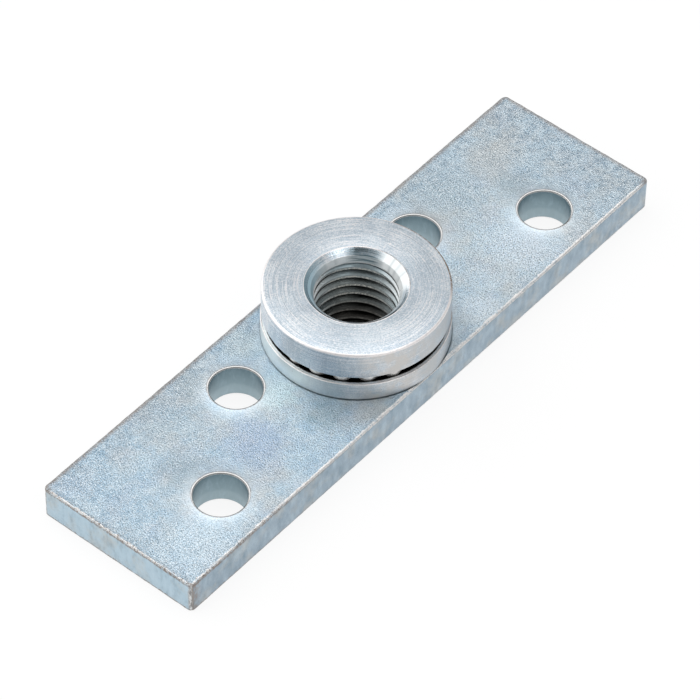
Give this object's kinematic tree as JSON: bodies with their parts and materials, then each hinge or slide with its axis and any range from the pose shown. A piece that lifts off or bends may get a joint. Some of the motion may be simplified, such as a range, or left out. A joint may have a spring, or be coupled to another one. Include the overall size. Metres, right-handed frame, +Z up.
{
  "type": "trolley swivel plate",
  "caption": "Flat steel door plate with screw holes and a threaded collar that turns on a ball thrust bearing, for hanging a sliding door from a trolley's pendant bolt.",
  "frame": {"origin": "on the swivel axis, at the plate's underside, which is the centre of the part's base", "axes": "+X along the bar, +Z up along the swivel axis towards the collar's mouth, +Y towards the inner pair of screw holes"},
  "size_m": [0.119, 0.0318, 0.017],
  "materials": {
    "plate_zinc": "satin zinc plate, grainy",
    "turned_zinc": "satin zinc plate over turning marks",
    "washer_zinc": "satin zinc plate",
    "bearing_steel": "polished bearing steel"
  },
  "bodies": {
    "plate": {"mounting_plate": "plate_zinc", "lower_race": "turned_zinc"},
    "collar": {"swivel_collar": "turned_zinc", "retaining_washer": "washer_zinc"},
    "ball_set": {"ball_01": "bearing_steel", "ball_02": "bearing_steel", "ball_03": "bearing_steel", "ball_04": "bearing_steel", "ball_05": "bearing_steel", "ball_06": "bearing_steel", "ball_07": "bearing_steel", "ball_08": "bearing_steel", "ball_09": "bearing_steel", "ball_10": "bearing_steel", "ball_11": "bearing_steel", "ball_12": "bearing_steel", "ball_13": "bearing_steel", "ball_14": "bearing_steel", "ball_15": "bearing_steel", "ball_16": "bearing_steel", "ball_17": "bearing_steel", "ball_18": "bearing_steel", "ball_19": "bearing_steel", "ball_20": "bearing_steel"}
  },
  "joints": [
    {"name": "collar_swivel", "type": "hinge", "parent": "plate", "child": "collar", "pos_m": [0, 0, 0.0134], "axis": [0, 0, 1], "continuous": true},
    {"name": "ball_travel", "type": "hinge", "parent": "plate", "child": "ball_set", "pos_m": [0, 0, 0.01093], "axis": [0, 0, 1], "continuous": true}
  ],
  "couplings": [
    {"joint": "ball_travel", "follows": "collar_swivel", "ratio": 0.5}
  ]
}
